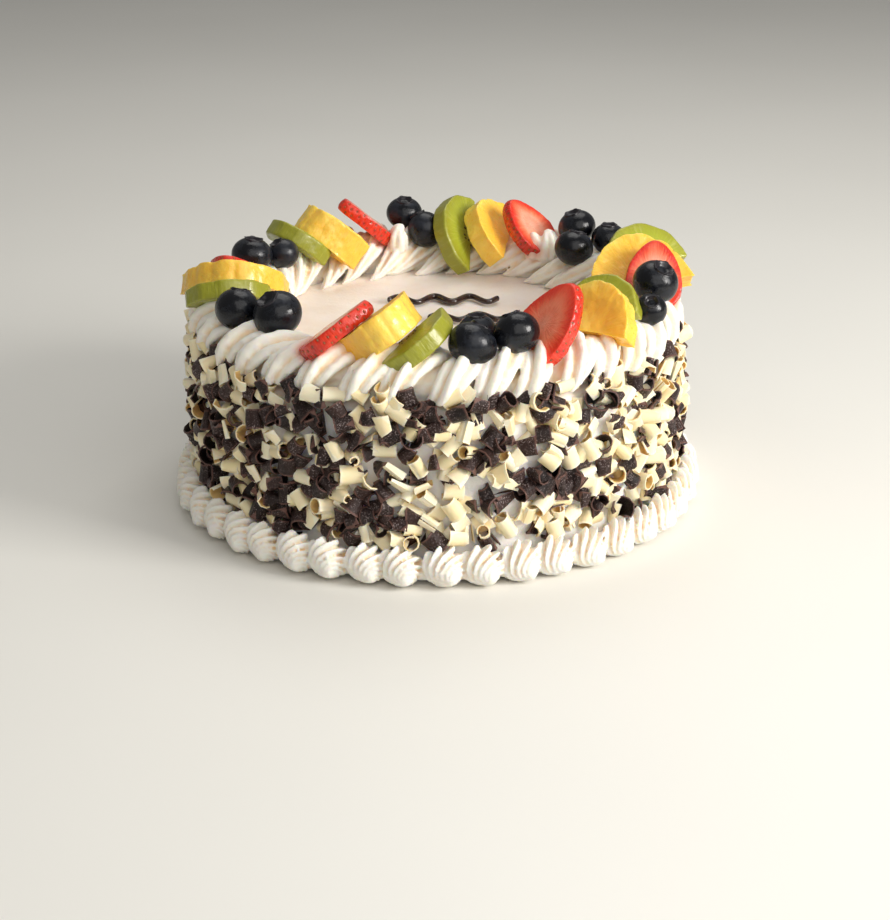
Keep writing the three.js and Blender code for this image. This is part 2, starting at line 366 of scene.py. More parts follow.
def cream_finish(name, base, side, fold_painted_shade):
    """base: its colour on top; side: its colour where it stands upright, which for the smoothed cream is much
    lighter than its top as painted light on the side that the curls shade; the third colour: painted shade deep in
    the folds.
    """
    f = Nodes(name)
    where = f.place()
    grain = f.noise(where, 900, 4, 0.6)
    drift = f.noise(where, 60, 3)
    x, y, z = f.parts(where)
    # Side colour below 68 mm, top colour above 72.5 mm; the smoothed cream's much lighter side is painted light
    # where the curls shade it.
    tone = f.mix(f.ranged(z, 0.068, 0.0725), side, base)
    tone = f.mix(f.ranged(drift, 0.3, 0.7, 0.0, 0.35), tone, (1.0, 0.99, 0.97))
    # Painted shade: a warm, darker colour laid deep in the folds by the groove mark.
    tone = f.mix(f.sums("MULTIPLY", f.attribute("groove"), 0.9), tone, fold_painted_shade)
    tone = f.mix(f.attribute("red_juice"), tone, (0.86, 0.36, 0.25))
    tone = f.mix(f.attribute("gold_juice"), tone, (0.93, 0.58, 0.22))
    f.colour(tone)
    f.roughness(f.ranged(grain, 0.3, 0.7, 0.42, 0.62))
    f.bump((f.noise(f.stretch(where, (1, 1, 1.6)), 420, 4, 0.65), 0.00025), (grain, 0.00008))
    f.glow(0.5, (1.0, 0.72, 0.4), 0.002)
    return f.set(Specular_IOR_Level=0.35)


def dark_curl_finish():
    """Dark chocolate shavings: dusty bloom on the outside, and painted shade, nearly black, inside the rolls."""
    f = Nodes("dark_chocolate_curls")
    where = f.place()
    speck = f.noise(where, 1500, 3, 0.75)
    patch = f.noise(where, 150, 3, 0.6)
    tone = f.mix(f.attribute("shade"), (0.008, 0.0036, 0.003), (0.036, 0.0165, 0.013))
    tone = f.mix(f.ranged(patch, 0.4, 0.7, 0.0, 0.4), tone, (0.05, 0.026, 0.023))
    dust = f.sums("MULTIPLY", f.ranged(speck, 0.56, 0.64), f.ranged(patch, 0.38, 0.6, 0.12, 0.85))
    tone = f.mix(dust, tone, (0.42, 0.34, 0.33))
    tone = f.mix(f.ranged(f.attribute("edge"), 0.78, 1.0, 0.0, 0.8), tone, (0.20, 0.10, 0.08))
    # Painted shade: nearly black on the faces inside the rolls.
    tone = f.mix(f.sums("MULTIPLY", f.attribute("inside"), 0.9), tone, (0.010, 0.005, 0.004))
    f.colour(tone)
    f.roughness(f.ranged(patch, 0.3, 0.7, 0.28, 0.52))
    f.bump((speck, 0.00028), (f.noise(where, 480, 2), 0.0005))
    return f.set(Specular_IOR_Level=0.27)


def ivory_curl_finish():
    f = Nodes("ivory_chocolate_curls")
    where = f.place()
    patch = f.noise(where, 110, 3, 0.5)
    tone = f.mix(f.attribute("shade"), (0.96, 0.75, 0.40), (1.0, 0.88, 0.65))
    tone = f.mix(f.ranged(patch, 0.35, 0.7, 0.0, 0.5), tone, (0.98, 0.83, 0.56))
    tone = f.mix(f.ranged(f.attribute("edge"), 0.7, 1.0, 0.0, 0.7), tone, (0.97, 0.91, 0.74))
    # Painted shade: warm yellow-orange on the faces inside the rolls.
    tone = f.mix(f.sums("MULTIPLY", f.attribute("inside"), 0.8), tone, (0.74, 0.48, 0.13))
    f.colour(tone)
    f.roughness(f.ranged(patch, 0.3, 0.7, 0.36, 0.52))
    f.bump((f.noise(where, 900, 3), 0.00012))
    f.glow(0.3, (1.0, 0.6, 0.25), 0.0015)
    return f.set(Specular_IOR_Level=0.45)


def glossy_chocolate_finish():
    f = Nodes("piped_dark_chocolate")
    where = f.place()
    drift = f.noise(where, 200, 2)
    f.colour(f.ramp(drift, (0.35, (0.018, 0.008, 0.005)), (0.7, (0.045, 0.018, 0.011))))
    f.roughness(f.ranged(drift, 0.3, 0.7, 0.16, 0.28))
    f.bump((f.noise(where, 420, 2), 0.00015))
    return f.set(Coat_Weight=0.3, Coat_Roughness=0.1)


def berry_finish():
    f = Nodes("blueberry_skin")
    where = f.place()
    cloud = f.noise(where, 95, 4, 0.6, 0.6)
    fine = f.noise(where, 700, 3, 0.6)
    bloom = f.ranged(f.sums("ADD", cloud, f.sums("MULTIPLY", fine, 0.25)), 0.58, 0.86)
    tone = f.mix(bloom, (0.0035, 0.004, 0.006), (0.020, 0.024, 0.034))
    crown = f.attribute("crown")
    tone = f.mix(f.sums("MULTIPLY", crown, 0.8), tone, (0.016, 0.013, 0.017))
    f.colour(tone)
    f.roughness(f.ranged(bloom, 0.0, 1.0, 0.24, 0.5))
    f.bump((fine, 0.0001), (f.noise(where, 260, 2), 0.00035))
    return f.set(Specular_IOR_Level=0.3, Coat_Weight=0.14, Coat_Roughness=0.1)


def strawberry_finish():
    """The cut face, pale in the middle and red at the rim, and the skin round the slice's edge."""
    f = Nodes("strawberry")
    local = f.attribute("slice", "Vector")
    x, y, z = f.parts(local)
    taper = f.ranged(x, 0.0, 17.0, 1.0, 0.42)
    across = f.sums("DIVIDE", y, f.sums("MULTIPLY", taper, 11.5))
    along = f.sums("DIVIDE", x, 17.0)
    e = f.sums("SQRT", f.sums("ADD", f.sums("MULTIPLY", across, across),
                              f.sums("MULTIPLY", along, along)))
    spoke = f.sums("ARCTAN2", across, along)
    fibres = f.noise(f.together(f.sums("MULTIPLY", spoke, 7.0), f.sums("MULTIPLY", e, 0.9)), 2.2, 3, 0.6)
    level = f.sums("ADD", e, f.ranged(fibres, 0.25, 0.75, -0.16, 0.16))
    pale = f.ramp(level,
                  (0.06, (0.93, 0.48, 0.33)), (0.30, (0.91, 0.34, 0.21)), (0.42, (0.94, 0.44, 0.30)),
                  (0.62, (0.90, 0.24, 0.12)), (0.84, (0.82, 0.10, 0.035)), (0.97, (0.70, 0.025, 0.01)))
    ripe = f.ramp(level,
                  (0.06, (0.95, 0.28, 0.15)), (0.34, (0.93, 0.19, 0.09)), (0.48, (0.95, 0.24, 0.12)),
                  (0.70, (0.90, 0.12, 0.05)), (0.92, (0.80, 0.04, 0.012)))
    flesh = f.mix(f.attribute("ripe"), pale, ripe)
    where = f.place()
    drift = f.noise(where, 140, 3)
    skin = f.ramp(drift, (0.3, (0.60, 0.014, 0.004)), (0.7, (0.78, 0.045, 0.010)))
    # Painted shade: darker skin in each seed's dimple.
    skin = f.mix(f.sums("MULTIPLY", f.attribute("dimple"), 0.6), skin, (0.34, 0.008, 0.004))
    cut = f.ranged(f.sums("ABSOLUTE", z), 2.72, 2.95)
    f.colour(f.mix(cut, skin, flesh))
    f.roughness(f.ranged(fibres, 0.3, 0.7, 0.2, 0.38))
    f.bump((fibres, 0.0003), (f.noise(where, 620, 3), 0.00018))
    f.glow(0.3, (1.0, 0.22, 0.12), 0.0018)
    return f.set(Coat_Weight=0.35, Coat_Roughness=0.1)


def seed_finish(name, low, high):
    f = Nodes(name)
    drift = f.noise(f.place(), 400, 2)
    f.colour(f.ramp(drift, (0.3, low), (0.7, high)))
    f.roughness(f.ranged(drift, 0.3, 0.7, 0.25, 0.45))
    return f.set(Coat_Weight=0.3)


def pineapple_finish():
    f = Nodes("pineapple_flesh")
    local = f.attribute("slice", "Vector")
    x, y, z = f.parts(local)
    middle = f.sums("ADD", x, 15.0)
    far = f.sums("SQRT", f.sums("ADD", f.sums("MULTIPLY", middle, middle), f.sums("MULTIPLY", y, y)))
    spoke = f.sums("ARCTAN2", y, middle)
    fibres = f.noise(f.together(f.sums("MULTIPLY", spoke, 9.0), f.sums("MULTIPLY", far, 0.06),
                                f.sums("MULTIPLY", z, 0.3)), 2.0, 4, 0.6)
    patch = f.noise(f.place(), 55, 3)
    level = f.sums("ADD", f.ranged(far, 6.0, 27.0, 0.0, 0.8),
                   f.sums("ADD", f.ranged(fibres, 0.3, 0.7, -0.06, 0.06), f.ranged(patch, 0.3, 0.7, -0.16, 0.16)))
    tone = f.ramp(level, (0.0, (1.0, 0.66, 0.10)), (0.35, (1.0, 0.53, 0.05)),
                  (0.65, (1.0, 0.57, 0.06)), (0.95, (1.0, 0.71, 0.125)))
    pit = f.ranged(f.cells(f.place(), 105), 0.10, 0.055)
    rare = f.ranged(f.noise(f.place(), 90, 1), 0.56, 0.60)
    tone = f.mix(f.sums("MULTIPLY", pit, f.sums("MULTIPLY", rare, 0.75)), tone, (0.30, 0.10, 0.012))
    f.colour(tone)
    f.roughness(f.ranged(fibres, 0.3, 0.7, 0.24, 0.4))
    f.bump((fibres, 0.00022), (f.noise(f.place(), 240, 4, 0.6), 0.00035))
    f.glow(0.45, (1.0, 0.55, 0.12), 0.004)
    return f.set(Coat_Weight=0.3, Coat_Roughness=0.12)


def kiwi_finish():
    f = Nodes("kiwi_flesh")
    local = f.attribute("slice", "Vector")
    x, y, z = f.parts(local)
    middle = f.sums("ADD", x, 10.5)
    far = f.sums("SQRT", f.sums("ADD", f.sums("MULTIPLY", middle, middle), f.sums("MULTIPLY", y, y)))
    spoke = f.sums("ARCTAN2", y, middle)
    rays = f.noise(f.together(f.sums("MULTIPLY", spoke, 11.0), f.sums("MULTIPLY", far, 0.035),
                              f.sums("MULTIPLY", z, 0.1)), 2.2, 2, 0.5)
    patch = f.noise(f.place(), 70, 3)
    core = f.sums("ADD", far, f.ranged(patch, 0.3, 0.7, -1.2, 1.2))
    tone = f.ramp(f.ranged(core, 2.0, 21.0),
                  (0.06, (0.74, 0.74, 0.34)), (0.2, (0.41, 0.46, 0.05)),
                  (0.7, (0.35, 0.385, 0.026)), (0.97, (0.30, 0.30, 0.018)))
    ray = f.sums("MULTIPLY", f.ranged(rays, 0.54, 0.68), f.ranged(far, 19.0, 8.0, 0.12, 0.55))
    tone = f.mix(ray, tone, (0.64, 0.64, 0.20))
    f.colour(tone)
    f.roughness(f.ranged(patch, 0.3, 0.7, 0.26, 0.42))
    f.bump((rays, 0.00018), (f.noise(f.place(), 500, 3), 0.00015))
    f.glow(0.35, (0.9, 1.0, 0.12), 0.003)
    return f.set(Coat_Weight=0.3, Coat_Roughness=0.12)


# Each cream's last colour is painted shade in its folds.
CREAM = cream_finish("whipped_cream", (0.945, 0.88, 0.775), (0.95, 0.90, 0.81), (0.93, 0.67, 0.37))
# The smoothed cream's side colour, much lighter than its top, is painted light on the side that the curls shade.
TOP_CREAM = cream_finish("smoothed_cream", (0.83, 0.72, 0.62), (0.99, 0.96, 0.90), (0.92, 0.74, 0.52))
DARK = dark_curl_finish()
IVORY = ivory_curl_finish()
SCROLL = glossy_chocolate_finish()
BERRY = berry_finish()
STRAWBERRY = strawberry_finish()
STRAW_SEED = seed_finish("strawberry_seeds", (0.16, 0.022, 0.006), (0.42, 0.15, 0.03))
KIWI_SEED = seed_finish("kiwi_seeds", (0.008, 0.006, 0.005), (0.03, 0.02, 0.012))
PINE = pineapple_finish()
KIWI = kiwi_finish()


def worn(piece, *materials):
    piece.data.materials.clear()
    for material in materials:
        piece.data.materials.append(material)
    return piece


def stands_for(piece, slot, *nodes):
    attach(piece, "root")
    if nodes:
        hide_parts(*nodes)
    return piece


# ---- cream body ----

def cream_body():
    radius = SIDE_RADIUS - 0.6 * MM
    bpy.ops.mesh.primitive_circle_add(vertices=192, radius=radius, fill_type="NGON", location=(0, 0, 0))
    body = added("cream_body")
    shape(body)
    bpy.ops.mesh.select_mode(type="FACE")
    rise = TOP_Z - 0.3 * MM
    for _ in range(24):
        push((0, 0, rise / 24))
    for _ in range(22):
        bpy.ops.mesh.inset(thickness=radius / 23)
    outward()
    pick(body, "EDGE", lambda e: all(abs(v.co.z - rise) < 1e-5 and v.co.xy.length > radius - 1e-5
                                     for v in e.verts))
    bpy.ops.mesh.bevel(offset=4 * MM, segments=4)
    shaped(body)
    bumpy(body, 0.016, 1.2 * MM, "spatula_marks")
    modified(body, "SMOOTH", factor=0.5, iterations=4)
    smooth(body, 50)
    return stands_for(worn(body, TOP_CREAM), "whipped_cream", "cake_body")


# ---- rope round the top ----

def rope_stroke():
    """One stroke of the rope: up from the outer foot, over the crest and down to the inner foot,
    drawn at the front of the cake's own circle, with Y running outwards from the cake's middle."""
    rise = TOP_Z / MM
    stations = [
        (98.6, 2.2, 6.4), (99.2, 5.2, 7.3), (98.0, 8.4, 8.3), (94.6, 10.9, 8.8), (90.0, 11.6, 8.8),
        (85.4, 10.0, 8.4), (81.2, 7.2, 7.6), (78.0, 4.4, 6.4), (75.4, 1.6, 4.8), (73.8, -0.4, 3.0),
    ]
    return piped("rope_stroke", 6, 0.56, [(y, rise + z, wide) for y, z, wide in stations], 3,
                 ripple=0.014, swing=(1.5, 1.8, 2.2, 2.6, 2.8, 3.2, 3.6, 3.8, 3.8), edge=0.76)


def cream_peak():
    """A small dollop pulled up to a curled tip."""
    return piped("cream_peak", 6, 0.7, [
        (0, -4, 5.6), (0.4, 0, 6.0), (0.6, 3.6, 5.6), (0.2, 6.4, 4.6), (-1.2, 8.6, 3.2), (-3.0, 9.2, 1.6),
    ], 3, ripple=0.03, edge=0.7)


def round_cake(angle, radius, height):
    """Local axes at a place round the cake: X outwards, Y counter-clockwise, Z up."""
    a = math.radians(angle)
    return Matrix.Rotation(a, 4, "Z") @ Matrix.Translation((radius, 0, height))


def rope(fruit):
    stroke = rope_stroke()
    hand = random.Random(11)
    strokes = []
    for loop in range(ROPE_LOOPS):
        angle = 360 * loop / ROPE_LOOPS + hand.uniform(-1.2, 1.2)
        size = hand.uniform(0.95, 1.04)
        crest = Vector((0, 89 * MM, TOP_Z))
        tip = Matrix.Rotation(math.radians(hand.uniform(-5, 5)), 4, "Z")
        lift = Matrix.Diagonal((1, 1, size, 1))
        here = Matrix.Translation(crest) @ lift @ tip @ Matrix.Translation(-crest)
        strokes.append(copied(stroke, "stroke", Matrix.Rotation(math.radians(angle), 4, "Z") @ here))
    discard(stroke)
    deselect()
    bpy.ops.mesh.primitive_torus_add(major_segments=120, minor_segments=12, major_radius=89.5 * MM,
                                     minor_radius=8.6 * MM, location=(0, 0, TOP_Z + 2.6 * MM))
    strokes.append(added("under_cream"))
    peak = cream_peak()
    for angle, radius, height, tip, size in CREAM_PEAKS:
        place = (Matrix.Rotation(math.radians(angle), 4, "Z") @ Matrix.Translation((0, -radius * MM, height * MM))
                 @ Matrix.Rotation(math.radians(tip), 4, "Z") @ Matrix.Scale(size, 4))
        strokes.append(copied(peak, "peak", place))
    discard(peak)
    piece = joined(strokes, "whipped_rope")
    modified(piece, "REMESH", mode="VOXEL", voxel_size=0.64 * MM)
    modified(piece, "SMOOTH", factor=0.5, iterations=1)
    bumpy(piece, 0.014, 1.6 * MM, "uneven_hand")
    bumpy(piece, 0.0035, 0.4 * MM, "whipped_air")
    mark_grooves(piece, 0.55)
    modified(piece, "DECIMATE", ratio=0.34)
    smooth(piece)
    stain(piece, fruit)
    return stands_for(worn(piece, CREAM), "whipped_cream", "rim_rope")


def stain(piece, fruit):
    """Marks how near each point of the cream is to a strawberry or a pineapple slice."""
    for name, kind, reach in (("red_juice", "strawberry", 3.2), ("gold_juice", "pineapple", 3.2)):
        spots = [v.co for other in fruit if other.name.startswith(kind) for v in other.data.vertices]
        tree = KDTree(len(spots))
        for index, spot in enumerate(spots):
            tree.insert(spot, index)
        tree.balance()
        shares = []
        for v in piece.data.vertices:
            near = tree.find(v.co)[2] / MM
            shares.append(0.75 * max(0.0, 1 - near / reach) ** 1.5)
        piece.data.attributes.new(name, "FLOAT", "POINT").data.foreach_set("value", shares)


# ---- border round the foot ----

def swirl():
    """One shell of the border: a star of cream pressed out along Z and turned as it is drawn to a tip."""
    flutes = 8
    bpy.ops.mesh.primitive_circle_add(vertices=4 * flutes, radius=1, fill_type="NGON", location=(0, 0, 0))
    piece = added("swirl")
    shape(piece)
    pick(piece, "VERT", lambda v: v.index % 4 == 2)
    resize(0.52, (0, 0, 0))
    pick(piece, "VERT", lambda v: v.index % 4 in (1, 3))
    resize(0.85, (0, 0, 0))
    bpy.ops.mesh.select_mode(type="FACE")
    bpy.ops.mesh.select_all(action="SELECT")
    resize(7.8 * MM, (0, 0, 0))
    for along, wide, twist in ((1.2, 8.6, 6), (2.4, 9.0, 9), (3.6, 9.1, 12), (4.8, 9.0, 14), (6.0, 8.7, 16),
                               (7.2, 8.2, 18), (8.2, 7.5, 19), (9.1, 6.7, 20), (9.9, 5.7, 22),
                               (10.6, 4.7, 22), (11.3, 3.6, 22), (12.0, 2.5, 22), (12.7, 1.4, 22)):
        flat = bmesh.from_edit_mesh(piece.data)
        cap = [v.co for v in flat.verts if v.select]
        centre = sum(cap, Vector()) / len(cap)
        reach = max((v - centre).length for v in cap)
        # The tip sags a little and ends off the middle.
        target = Vector((0.10 * along, 0.16 * along, along)) * MM
        push(target - centre)
        turn(twist, "Z", target)
        resize(wide * MM / reach, target)
    outward()
    return shaped(piece)


def border():
    shell = swirl()
    hand = random.Random(5)
    shells = []
    for index in range(SHELLS):
        angle = 360 * index / SHELLS + hand.uniform(-0.5, 0.5)
        size = hand.uniform(0.99, 1.06)
        # The tip points out, a little down, and on round the cake.
        set_down = (round_cake(angle, 104.2 * MM, 10.9 * MM)
                    @ Matrix.Rotation(math.radians(14 + hand.uniform(-4, 4)), 4, "Z")
                    @ Matrix.Rotation(math.radians(90 + 26 + hand.uniform(-4, 4)), 4, "Y")
                    @ Matrix.Rotation(math.radians(hand.uniform(-14, 14)), 4, "Z")
                    @ Matrix.Scale(size, 4))
        shells.append(copied(shell, "shell", set_down))
    discard(shell)
    deselect()
    bpy.ops.mesh.primitive_torus_add(major_segments=120, minor_segments=12, major_radius=104.5 * MM,
                                     minor_radius=4.4 * MM, location=(0, 0, 6 * MM))
    shells.append(added("under_shells"))
    piece = joined(shells, "whipped_border")
    modified(piece, "REMESH", mode="VOXEL", voxel_size=0.52 * MM)
    modified(piece, "SMOOTH", factor=0.3, iterations=1)
    bumpy(piece, 0.003, 0.3 * MM, "border_air")
    mark_grooves(piece, 0.5)
    modified(piece, "DECIMATE", ratio=0.42)
    rest_on_floor(piece)
    smooth(piece)
    return stands_for(worn(piece, CREAM), "whipped_cream", "base_border")


def mark_grooves(piece, depth):
    """Compares the piped cream with a much smoothed copy: what lies under the copy is a groove, and the cream
    finishes paint shade there.
    """
    calm = copied(piece, "calm", Matrix())
    modified(calm, "SMOOTH", factor=0.5, iterations=34)
    shares = [min(1.0, max(0.0, (even.co - v.co).dot(v.normal) / (depth * MM)))
              for v, even in zip(piece.data.vertices, calm.data.vertices)]
    piece.data.attributes.new("groove", "FLOAT", "POINT").data.foreach_set("value", shares)
    discard(calm)


def rest_on_floor(piece):
    for v in piece.data.vertices:
        v.co.z = max(v.co.z, 0.0)


# ---- chocolate curls ----

def rolled(name, long, radius, arc, shrink=1.0, slant=0.0, taper=1.0, thick=0.55, rough=0.2, seed=0):
    """A strip of shaved chocolate rolled about the Y axis. shrink: how much tighter each step rolls.
    slant: how much narrower one end is, which makes a cone. taper: how the strip narrows as it rolls."""
    steps = max(4, round(arc / 33))
    step = arc / steps
    bpy.ops.mesh.primitive_grid_add(x_subdivisions=1, y_subdivisions=2, size=1, location=(0, 0, 0))
    piece = added(name)
    shape(piece)
    chord = 2 * radius * math.sin(math.radians(step / 2))
    resize((chord * MM, long * MM, 1), (0, 0, 0))
    turn(90 + step / 2, "Y", (0, 0, 0))
    half = math.radians(step / 2)
    middle = Vector((radius * math.cos(half), 0, radius * math.sin(half))) * MM
    bpy.ops.transform.translate(value=middle)
    low = max(v.co.z for v in bmesh.from_edit_mesh(piece.data).verts)
    pick(piece, "EDGE", lambda e: all(abs(v.co.z - low) < 1e-6 for v in e.verts))
    for _ in range(steps - 1):
        push((0, 0, 0))
        turn(-step, "Y", (0, 0, 0))
        resize((shrink, taper, shrink), (0, 0, 0))
    if slant:
        mesh = bmesh.from_edit_mesh(piece.data)
        ends = max(v.co.y for v in mesh.verts)
        for side, share in ((1, 1 - slant), (0, 1 - slant / 2)):
            pick(piece, "VERT", lambda v: (v.co.y > 0.2 * ends) if side else abs(v.co.y) <= 0.2 * ends)
            resize((share, 1, share), (0, 0, 0))
    bpy.ops.mesh.select_all(action="SELECT")
    bpy.ops.transform.vertex_random(offset=rough * MM, seed=seed)
    shaped(piece)
    mark = piece.data.attributes.new("edge", "FLOAT", "POINT")
    rim = [0.0] * len(piece.data.vertices)
    shared = {}
    for polygon in piece.data.polygons:
        for key in polygon.edge_keys:
            shared[key] = shared.get(key, 0) + 1
    for key, count in shared.items():
        if count == 1:
            for index in key:
                rim[index] = 1.0
    mark.data.foreach_set("value", rim)
    modified(piece, "SOLIDIFY", thickness=thick * MM, offset=0, use_rim=True)
    # Faces turned in towards the roll's axis; the curl finishes paint shade on them.
    inner = piece.data.attributes.new("inside", "FLOAT", "POINT")
    values = []
    for v in piece.data.vertices:
        around = Vector((v.co.x, 0, v.co.z))
        values.append(1.0 if v.normal.dot(around) < 0 else 0.0)
    inner.data.foreach_set("value", values)
    return piece


def curl_shapes(kind):
    """The curls as they come off the block: full rolls, open rolls, cones and bent flakes,
    each with how often it turns up."""
    if kind == "dark":
        return [
            (rolled("roll_a", 7.4, 3.1, 385, shrink=0.985, rough=0.22, seed=1), 5),
            (rolled("roll_b", 6.4, 2.6, 335, slant=0.2, rough=0.24, seed=2), 5),
            (rolled("open_roll", 7.6, 3.3, 215, slant=0.2, taper=0.96, thick=0.7, rough=0.3, seed=3), 5),
            (rolled("cone", 8.4, 3.8, 300, shrink=0.97, slant=0.66, thick=0.6, rough=0.25, seed=4), 6),
            (rolled("flake_a", 8.0, 4.2, 120, taper=0.74, thick=0.9, rough=0.45, seed=5), 3),
            (rolled("flake_b", 7.0, 3.6, 108, taper=0.86, slant=0.4, thick=1.0, rough=0.5, seed=6), 3),
            (rolled("open_cup", 6.8, 3.4, 170, slant=0.5, taper=0.9, thick=0.7, rough=0.3, seed=12), 6),
        ]
    return [
        (rolled("roll_c", 8.6, 2.6, 400, shrink=0.98, rough=0.12, seed=7), 6),
        (rolled("roll_d", 7.6, 2.1, 350, slant=0.1, rough=0.12, seed=8), 5),
        (rolled("open_curl", 8.2, 3.0, 215, slant=0.12, thick=0.6, rough=0.16, seed=9), 6),
        (rolled("cone_curl", 9.0, 3.3, 310, shrink=0.97, slant=0.58, rough=0.14, seed=10), 4),
        (rolled("flake_c", 7.6, 4.8, 104, slant=0.15, taper=0.95, thick=0.7, rough=0.25, seed=11), 4),
        (rolled("open_shaving", 8.4, 3.8, 140, slant=0.3, taper=0.88, thick=0.6, rough=0.2, seed=13), 4),
    ]


def spread(count, gap, hand, low, high):
    """Places on the cake's side, none nearer than the gap to another if it can be helped."""
    places = []
    around = 2 * math.pi * SIDE_RADIUS / MM
    while len(places) < count:
        best, best_room = None, -1.0
        for _ in range(12):
            s, z = hand.uniform(0, around), hand.uniform(low, high)
            room = gap
            for other_s, other_z in places:
                ds = abs(s - other_s)
                ds = min(ds, around - ds)
                if ds < room and abs(z - other_z) < room:
                    room = min(room, math.hypot(ds, z - other_z))
            if room > best_room:
                best, best_room = (s, z), room
            if room >= gap:
                break
        places.append(best)
    return [(math.degrees(s * MM / SIDE_RADIUS), z) for s, z in places]


def curls():
    hand = random.Random(23)
    shapes = {"dark": curl_shapes("dark"), "ivory": curl_shapes("ivory")}
    total = DARK_CURLS + IVORY_CURLS
    under = spread(total * 48 // 100, 7.4, hand, 15.0, 78.0)
    over = spread(total - len(under), 7.1, hand, 17.0, 75.5)
    kinds = ["dark"] * DARK_CURLS + ["ivory"] * IVORY_CURLS
    hand.shuffle(kinds)
    made = {"dark": [], "ivory": []}
    for number, (place, kind) in enumerate(zip(under + over, kinds)):
        angle, z = place
        low_layer = number < len(under)
        # The ivory curls gather towards the right of the front.
        if kind == "dark" and 285 < angle < 350 and hand.random() < 0.3:
            kind = "ivory"
        model = hand.choices([one for one, often in shapes[kind]], [often for one, often in shapes[kind]])[0]
        tilt = hand.gauss(0, 14 if low_layer else 24)
        if not low_layer and hand.random() < 0.16:
            tilt = hand.choice((-1, 1)) * hand.uniform(40, 80)
        flat = model.name.startswith("flake")
        away = SIDE_RADIUS + ((0.6 if low_layer else 2.7) + hand.uniform(-0.5, 0.9)) * MM
        if flat:
            away -= 3.6 * MM
        bent = flat or model.name.startswith("open")
        roll = hand.uniform(-40, 40) if flat else hand.uniform(-75, 75) if bent else hand.uniform(0, 360)
        size = hand.uniform(0.88, 1.16)
        # The curl's axis (Y) lies in the side, turned any way; it opens away from or along the side.
        matrix = (round_cake(angle, away, z * MM)
                  @ Matrix.Rotation(math.radians(hand.uniform(0, 360)), 4, "X")
                  @ Matrix.Rotation(math.radians(tilt), 4, "Z")
                  @ Matrix.Rotation(math.radians(roll), 4, "Y")
                  @ Matrix.Rotation(math.radians(centre_turn(model)), 4, "Y")
                  @ Matrix.Scale(size, 4))
        curl = copied(model, "curl", matrix)
        shade = curl.data.attributes.new("shade", "FLOAT", "POINT")
        shade.data.foreach_set("value", [hand.random()] * len(curl.data.vertices))
        made[kind].append(curl)
    for group in shapes.values():
        for model, often in group:
            discard(model)
    for kind, material in (("dark", DARK), ("ivory", IVORY)):
        piece = joined(made[kind], f"{kind}_curls")
        smooth(piece, 38)
        stands_for(worn(piece, material), "chocolate_curls", "curl_coat")


def centre_turn(model):
    """The turn that brings the middle of a bent flake or an open roll to face outwards."""
    middle = sum((v.co for v in model.data.vertices), Vector()) / len(model.data.vertices)
    return math.degrees(math.atan2(middle.z, middle.x))


# ---- fruit ----

# Angles in degrees and lengths in millimetres. angle: round the cake, counter-clockwise from the front
# seen from above. lean, raise, yaw and spin turn a slice as it lies in the rope; share is its size,
# and a last number says how much thicker than usual it was cut.
STRAWBERRIES = [
    (334.4, 90, 97.5, 38, 6, 18, 0, 1.02), (30.5, 88, 96.6, 52, 2, 14, -14, 1.18),
    (87, 93, 93.8, 48, -4, 0, 0, 1.04), (150, 84, 95.5, 46, 14, 0, -6, 0.94),
    (203, 85, 97.5, 40, 10, 6, 0, 1), (261.5, 89, 93.8, 32, 4, 0, 0, 0.95),
]
PINEAPPLES = [
    (346, 88, 99, 36, 8, 8, -64, 0.7, 1.4), (47, 86, 97, 48, 6, 6, -4, 0.84),
    (98, 88, 96, 44, 5, 0, 2, 0.94), (163.5, 83, 95.4, 50, 12, 0, 10, 0.78),
    (216.5, 84, 96.8, 42, 12, 8, 0, 0.8, 1.5), (273, 86, 95.6, 34, 7, 4, 0, 0.95),
]
KIWIS = [
    (355.3, 91, 94, 36, 2, 8, -78, 0.88), (58.5, 80, 98.6, 46, 6, 6, 0, 0.84),
    (110, 95, 98, 46, 2, 4, 0, 0.96), (174.4, 78, 95.4, 54, 38, 0, 0, 0.98),
    (229, 86, 96.4, 40, 12, 4, 0, 0.82), (285, 88, 95, 32, 4, 0, 0, 0.9),
]
# angle, radius, height, half width, height over width, and the crown's lean: tip and turn.
BERRIES = [
    (8.8, 91, 94.7, 9.8, 0.88, -20, 30), (20.5, 89, 97, 9.4, 0.88, -28, -10), (13, 72, 93.5, 7.8, 0.9, 0, 0),
    (77.5, 93.8, 97.8, 9.7, 0.92, 26, -16), (63.5, 97.5, 93.2, 6.9, 0.94, 20, -34),
    (127, 77.5, 93.6, 8.8, 0.9, 16, 0), (136, 92.5, 97.8, 8.7, 0.88, -14, 12), (125.5, 96, 95.2, 8, 0.9, 0, 0),
    (183.5, 81, 93.4, 8.2, 1.04, 30, 24), (189, 96, 97.6, 8.5, 0.86, -12, 0),
    (239.5, 79, 94, 7, 0.96, 22, 20), (249, 87, 96.2, 9.1, 0.85, -8, -6),
    (299, 92, 95, 9.4, 0.92, -18, -14), (311.5, 84.5, 96.6, 10.2, 0.88, 30, -6),
]


def slice_place(angle, radius, height, lean, tilt, yaw, spin, share, plump=1.0):
    return (Matrix.Rotation(math.radians(angle), 4, "Z")
            @ Matrix.Translation((0, -radius * MM, height * MM))
            @ Matrix.Rotation(math.radians(yaw), 4, "Z")
            @ Matrix.Rotation(math.radians(-tilt), 4, "X")
            @ Matrix.Rotation(math.radians(-lean), 4, "Y")
            @ Matrix.Rotation(math.radians(spin), 4, "Z")
            @ Matrix.Diagonal((share, share, plump, 1)))


